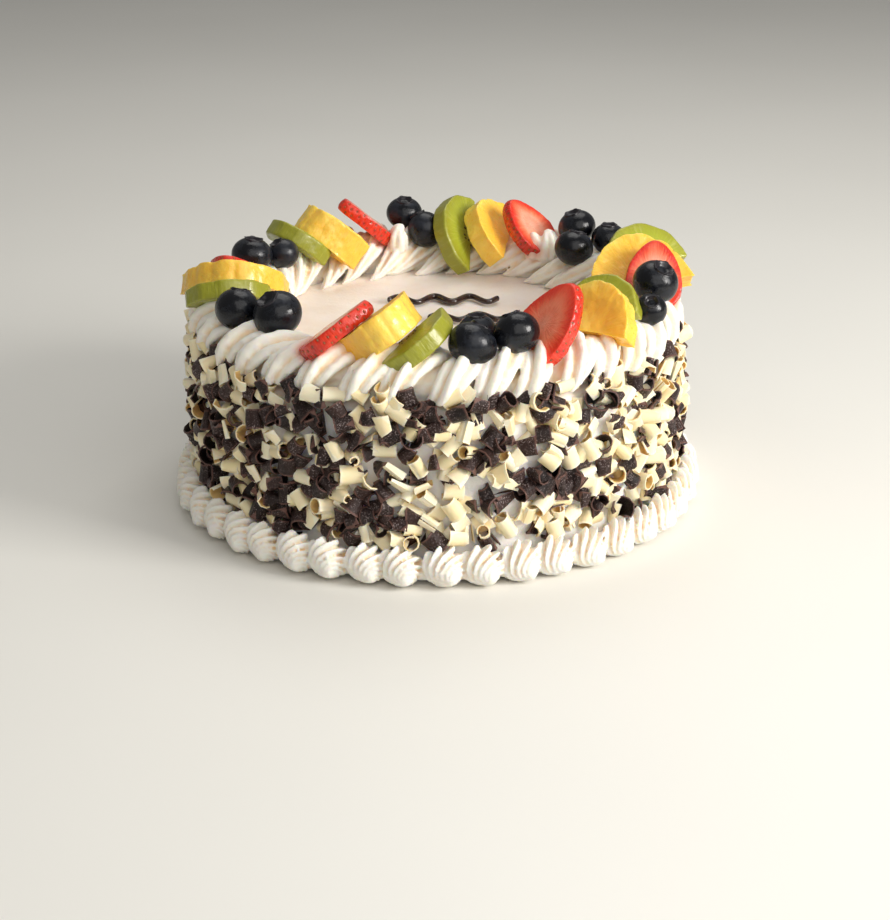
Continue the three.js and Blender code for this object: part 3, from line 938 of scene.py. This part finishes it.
def berry_place(angle, radius, height, size, squash, tip, yaw):
    return (Matrix.Rotation(math.radians(angle), 4, "Z")
            @ Matrix.Translation((0, -radius * MM, height * MM))
            @ Matrix.Rotation(math.radians(tip), 4, "X")
            @ Matrix.Rotation(math.radians(yaw), 4, "Y")
            @ Matrix.Diagonal((size, size, size * squash, 1)))


def settle(piece, node):
    """Shifts a piece so that its middle is the middle of the node it stands for."""
    low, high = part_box(node)
    spots = [v.co for v in piece.data.vertices]
    least = Vector([min(p[k] for p in spots) for k in range(3)])
    most = Vector([max(p[k] for p in spots) for k in range(3)])
    piece.data.transform(Matrix.Translation((low + high) / 2 - (least + most) / 2))


def remember_slice(piece):
    """Keeps each point's place in the flat slice, in millimetres, for the flesh pattern."""
    mark = piece.data.attributes.new("slice", "FLOAT_VECTOR", "POINT")
    flat = [value / MM for v in piece.data.vertices for value in v.co]
    mark.data.foreach_set("vector", flat)


def strawberry_slice():
    long, wide, thick = 34, 23, 6.2
    bpy.ops.mesh.primitive_uv_sphere_add(segments=72, ring_count=36, radius=1, location=(0, 0, 0))
    piece = added("strawberry_slice")
    shape(piece)
    turn(90, "Y", (0, 0, 0))
    resize((long / 2 * MM, wide / 2 * MM, wide / 2 * MM), (0, 0, 0))
    mesh = bmesh.from_edit_mesh(piece.data)
    for row in sorted({round(v.co.x, 6) for v in mesh.verts}):
        along = row / (long / 2 * MM)
        # Broad shoulders behind, drawn in to a blunt tip in front.
        fill = 1.0 + 0.10 * math.sin(math.pi * max(0, -along)) if along < 0 else 1 - 0.30 * along ** 1.4
        pick(piece, "VERT", lambda v: abs(v.co.x - row) < 2e-6)
        resize((1, fill, fill), (row, 0, 0))
    for side in (1, -1):
        bpy.ops.mesh.select_all(action="SELECT")
        bpy.ops.mesh.bisect(plane_co=(0, 0, side * thick / 2 * MM), plane_no=(0, 0, side),
                            use_fill=True, clear_outer=True)
    outward()
    shaped(piece)
    modified(piece, "REMESH", mode="VOXEL", voxel_size=0.5 * MM)
    modified(piece, "SMOOTH", factor=0.5, iterations=2)
    seeds = dimple_skin(piece, thick)
    remember_slice(piece)
    worn(piece, STRAWBERRY, STRAW_SEED)
    add_seeds(piece, seeds, (0.72, 0.42, 0.32), 1, stand=0.05)
    return smooth(piece, 60)


def dimple_skin(piece, thick):
    """Sinks a small dimple for each seed of the skin and gives the places back."""
    hand = random.Random(3)
    skin = [v for v in piece.data.vertices if abs(v.co.z) < 0.47 * thick * MM]
    seeds = []
    hand.shuffle(skin)
    for v in skin:
        if all((v.co - other[0]).length > 2.6 * MM for other in seeds) and abs(v.co.z) < 0.40 * thick * MM:
            seeds.append((v.co.copy(), v.normal.copy()))
    depth = [0.0] * len(piece.data.vertices)
    for v in skin:
        for centre, normal in seeds:
            near = (v.co - centre).length / MM
            if near < 1.5:
                depth[v.index] = max(depth[v.index], math.exp(-(near / 0.62) ** 2))
    for v, share in zip(list(piece.data.vertices), depth):
        if share:
            v.co -= v.normal * 0.36 * MM * share
    # The dimple mark also carries the painted shade in the skin's pits.
    piece.data.attributes.new("dimple", "FLOAT", "POINT").data.foreach_set("value", depth)
    return [(centre - normal * 0.3 * MM, normal) for centre, normal in seeds]


def add_seeds(piece, seeds, size, material_index, stand=0.0):
    """Sets a small seed at each place, lying along the surface."""
    bpy.ops.mesh.primitive_ico_sphere_add(subdivisions=1, radius=1, location=(0, 0, 0))
    seed = added("seed")
    made = []
    for centre, normal in seeds:
        lay = normal.to_track_quat("Z", "X").to_matrix().to_4x4()
        grow = Matrix.Diagonal((size[0] * MM, size[1] * MM, size[2] * MM, 1))
        made.append(copied(seed, "seed", Matrix.Translation(centre + normal * stand * MM) @ lay @ grow))
    discard(seed)
    for one in made:
        for polygon in one.data.polygons:
            polygon.use_smooth = True
    seeds_piece = joined(made, "seeds")
    for _ in range(material_index + 1):
        seeds_piece.data.materials.append(None)
    for slot in range(material_index + 1):
        seeds_piece.data.materials[slot] = piece.data.materials[slot]
    for polygon in seeds_piece.data.polygons:
        polygon.material_index = material_index
    name = piece.name
    deselect()
    seeds_piece.select_set(True)
    piece.select_set(True)
    bpy.context.view_layer.objects.active = piece
    bpy.ops.object.join()
    piece.name = name
    return piece


def pineapple_slice():
    chord, high, thick, bites = 49, 27, 9, 7
    bpy.ops.mesh.primitive_circle_add(vertices=144, radius=1, fill_type="NGON", location=(0, 0, 0))
    piece = added("pineapple_slice")
    shape(piece)
    bpy.ops.mesh.bisect(plane_co=(0.32, 0, 0), plane_no=(1, 0, 0), clear_inner=True)
    reach = math.sqrt(1 - 0.32 ** 2)
    bpy.ops.mesh.select_all(action="SELECT")
    bpy.ops.transform.translate(value=(-0.32, 0, 0))
    resize((high / 0.68 * MM, chord / 2 / reach * MM, 1), (0, 0, 0))
    # The eyes were cut away along the rind, which leaves a scalloped arc.
    mesh = bmesh.from_edit_mesh(piece.data)
    arc = [v.index for v in mesh.verts if v.co.x > 1e-5]
    for index in arc:
        mesh.verts.ensure_lookup_table()
        v = mesh.verts[index]
        sweep = math.atan2(v.co.y / (chord / 2), v.co.x / high)
        dip = abs(math.sin(bites * sweep + 0.6)) ** 0.7
        v.co.x *= 0.97 + 0.03 * dip
        v.co.y *= 0.98 + 0.02 * dip
    bmesh.update_edit_mesh(piece.data)
    bpy.ops.mesh.select_all(action="SELECT")
    bpy.ops.transform.translate(value=(-high / 2 * MM, 0, -thick / 2 * MM))
    bpy.ops.mesh.select_mode(type="FACE")
    bpy.ops.mesh.select_all(action="SELECT")
    for _ in range(6):
        push((0, 0, thick / 6 * MM))
    outward()
    pick(piece, "FACE", lambda f: abs(f.normal.z) > 0.9)
    for inset in (0.7, 1.2, 1.8, 2.4, 2.4):
        bpy.ops.mesh.inset(thickness=inset * MM)
    shaped(piece)
    modified(piece, "BEVEL", width=0.7 * MM, segments=2, limit_method="ANGLE", angle_limit=math.radians(50))
    modified(piece, "REMESH", mode="VOXEL", voxel_size=0.55 * MM)
    modified(piece, "SMOOTH", factor=0.5, iterations=3)
    remember_slice(piece)
    worn(piece, PINE)
    return smooth(piece)


def kiwi_slice():
    chord, high, thick = 41, 21, 7.5
    bpy.ops.mesh.primitive_circle_add(vertices=96, radius=1, fill_type="NGON", location=(0, 0, 0))
    piece = added("kiwi_slice")
    shape(piece)
    bpy.ops.mesh.bisect(plane_co=(0, 0, 0), plane_no=(1, 0, 0), clear_inner=True)
    bpy.ops.mesh.select_all(action="SELECT")
    resize((high * MM, chord / 2 * MM, 1), (0, 0, 0))
    bpy.ops.transform.translate(value=(-high / 2 * MM, 0, -thick / 2 * MM))
    bpy.ops.mesh.select_mode(type="FACE")
    bpy.ops.mesh.select_all(action="SELECT")
    for _ in range(6):
        push((0, 0, thick / 6 * MM))
    outward()
    # The peeled side is flat where the knife went.
    for sweep in (-66, -31, 8, 44, 76):
        a = math.radians(sweep)
        edge = Vector((high * math.cos(a) - high / 2, chord / 2 * math.sin(a), 0)) * MM
        out = Vector((math.cos(a) / high, math.sin(a) / (chord / 2), 0)).normalized()
        bpy.ops.mesh.select_all(action="SELECT")
        bpy.ops.mesh.bisect(plane_co=edge - out * 0.5 * MM, plane_no=out, use_fill=True, clear_outer=True)
    shaped(piece)
    modified(piece, "BEVEL", width=1.0 * MM, segments=3, limit_method="ANGLE", angle_limit=math.radians(50))
    modified(piece, "REMESH", mode="VOXEL", voxel_size=0.55 * MM)
    modified(piece, "SMOOTH", factor=0.5, iterations=3)
    remember_slice(piece)
    worn(piece, KIWI, KIWI_SEED)
    hand = random.Random(9)
    seeds = []
    for side in (1, -1):
        for sweep in range(-76, 80, 17):
            far = hand.uniform(4.2, 7.6)
            a = math.radians(sweep + hand.uniform(-5, 5))
            spot = Vector((far * math.cos(a) - high / 2, far * 1.05 * math.sin(a), side * (thick / 2 - 0.15))) * MM
            seeds.append((spot, Vector((0, 0, side))))
    add_seeds(piece, seeds, (0.9, 0.55, 0.4), 1)
    return smooth(piece)


def blueberry():
    bpy.ops.mesh.primitive_uv_sphere_add(segments=40, ring_count=24, radius=MM, location=(0, 0, 0))
    piece = added("blueberry")
    shape(piece)
    pick(piece, "FACE", lambda f: f.calc_center_median().z > 0.93 * MM)
    resize((1.12, 1.12, 1), (0, 0, 0.93 * MM))
    bpy.ops.transform.translate(value=(0, 0, -0.03 * MM))
    push((0, 0, 0.035 * MM))
    resize((1.06, 1.06, 0.2), (0, 0, 0.97 * MM))
    bpy.ops.mesh.inset(thickness=0.06 * MM)
    push((0, 0, -0.07 * MM))
    resize((0.86, 0.86, 0.6), (0, 0, 0.92 * MM))
    push((0, 0, -0.12 * MM))
    resize((0.7, 0.7, 0.3), (0, 0, 0.78 * MM))
    # Five points of the crown stand up and fold outwards.
    pick(piece, "VERT", lambda v: v.co.z > 0.93 * MM and v.co.xy.length > 0.30 * MM
         and math.cos(5 * math.atan2(v.co.y, v.co.x)) > 0.25)
    resize((1.12, 1.12, 1), (0, 0, MM))
    bpy.ops.transform.translate(value=(0, 0, 0.025 * MM))
    outward()
    shaped(piece)
    modified(piece, "SUBSURF", levels=1, render_levels=1)
    crown = [1.0 if v.co.z > 0.80 * MM and v.co.xy.length < 0.47 * MM else 0.0 for v in piece.data.vertices]
    piece.data.attributes.new("crown", "FLOAT", "POINT").data.foreach_set("value", crown)
    worn(piece, BERRY)
    return smooth(piece, 60)


UNEVEN = {"yellow_fruit": ((0.011, 1.7), (0.0035, 0.5)), "green_fruit": ((0.012, 1.2), (0.004, 0.3)),
          "red_fruit": ((0.014, 1.0),)}


def fruit():
    pieces = []
    for kind, model, places, slot in (
        ("strawberry", strawberry_slice(), STRAWBERRIES, "red_fruit"),
        ("pineapple", pineapple_slice(), PINEAPPLES, "yellow_fruit"),
        ("kiwi", kiwi_slice(), KIWIS, "green_fruit"),
    ):
        for index, place in enumerate(places):
            node = f"{kind}_{index + 1}"
            pieces.append((copied(model, f"{kind}_slice_{index + 1}", slice_place(*place)), node, slot))
        discard(model)
    model = blueberry()
    for index, place in enumerate(BERRIES):
        node = f"berry_{index + 1}"
        pieces.append((copied(model, f"blueberry_{index + 1}", berry_place(*place)), node, "berry_skin"))
    discard(model)
    for piece, node, slot in pieces:
        # No two slices were cut quite alike.
        if slot in UNEVEN:
            for size, depth in UNEVEN[slot]:
                bumpy(piece, size, depth * MM, "cut_by_hand")
        if slot == "red_fruit":
            ripe = 0.9 if node == "strawberry_2" else 0.15
            count = len(piece.data.vertices)
            piece.data.attributes.new("ripe", "FLOAT", "POINT").data.foreach_set("value", [ripe] * count)
        settle(piece, node)
        stands_for(piece, slot, node)
    return [piece for piece, node, slot in pieces]


# ---- piped chocolate on the top ----

def scroll(node, name, length, wave, waves):
    """A waved line of chocolate, drawn flat in the YZ plane and then laid down."""
    low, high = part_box(node)
    half = (high.z - low.z) / 2 / MM
    stations = []
    count = 8 * waves
    for step in range(count + 1):
        share = step / count
        along = (length - 2 * half) * (share - 0.5)
        rise = wave * math.sin(2 * math.pi * waves * share)
        fat = half * (1.0 + 0.12 * math.sin(9 * share + waves))
        stations.append((along, rise, fat))
    ends = [stations[0], stations[-1]]
    stations = ([(ends[0][0] - 0.9 * half, ends[0][1] - 0.4 * half, 0.35 * half),
                 (ends[0][0] - 0.6 * half, ends[0][1] - 0.3 * half, 0.85 * half)] + stations
                + [(ends[1][0] + 0.6 * half, ends[1][1] + 0.3 * half, 0.85 * half),
                   (ends[1][0] + 0.9 * half, ends[1][1] + 0.4 * half, 0.35 * half)])
    piece = piped(name, 4, 1.0, stations, 3)
    # Y to the right, Z to the back, X down: the drawing is laid on the cream.
    lay = Matrix(((0, 1, 0, 0), (0, 0, 1, 0), (1, 0, 0, 0), (0, 0, 0, 1)))
    piece.data.transform(lay)
    modified(piece, "SUBSURF", levels=1, render_levels=1)
    settle(piece, node)
    smooth(piece)
    return stands_for(worn(piece, SCROLL), "dark_chocolate", node)


# ---- room ----

def room():
    bpy.ops.mesh.primitive_plane_add(size=6, location=(0, 0, 0))
    floor = added("floor")
    f = Nodes("pale_floor")
    f.colour(f.ramp(f.noise(f.place(), 3, 2), (0.3, (0.80, 0.79, 0.74)), (0.7, (0.83, 0.82, 0.77))))
    worn(floor, f.set(Roughness=0.6, Specular_IOR_Level=0.2))

    world = bpy.data.worlds.new("soft_white")
    world.use_nodes = True
    world.node_tree.nodes["Background"].inputs["Color"].default_value = (1.0, 0.985, 0.96, 1)
    world.node_tree.nodes["Background"].inputs["Strength"].default_value = 0.24
    bpy.context.scene.world = world

    for name, place, size, power, colour in (
        ("softbox_right", (0.92, -0.48, 0.52), 0.42, 11.5, (1.0, 0.97, 0.93)),
        ("softbox_above", (0.1, 0.45, 1.0), 0.7, 3.4, (1.0, 0.98, 0.95)),
        ("softbox_front", (0.34, -0.84, 0.82), 1.1, 5.4, (1.0, 0.98, 0.96)),
    ):
        deselect()
        bpy.ops.object.light_add(type="AREA", location=place)
        light = bpy.context.active_object
        light.name = name
        light.data.shape = "SQUARE"
        light.data.size = size
        light.data.energy = power
        light.data.color = colour
        light.rotation_euler = (Vector((0, 0, 0.06)) - Vector(place)).to_track_quat("-Z", "Y").to_euler()

    camera = bpy.data.objects.new("camera", bpy.data.cameras.new("camera"))
    bpy.context.scene.collection.objects.link(camera)
    camera.matrix_world = (Matrix.Translation((0.0032, -0.822, 0.342))
                           @ Matrix.Rotation(math.pi / 2 - 0.3835, 4, "X")
                           @ Matrix.Rotation(-0.008, 4, "Z"))
    camera.data.lens = 78.3
    camera.data.sensor_width = 36
    camera.data.clip_start = 0.01
    bpy.context.scene.camera = camera
    bpy.context.scene.view_settings.view_transform = "Standard"


deselect()
room()
cream_body()
fruit_pieces = fruit()
rope(fruit_pieces)
border()
curls()
scroll("chocolate_scroll_rear", "scroll_rear", 50, 4.2, 3)
scroll("chocolate_scroll_front", "scroll_front", 36, 3.4, 2)
deselect()

bpy.context.view_layer.update()
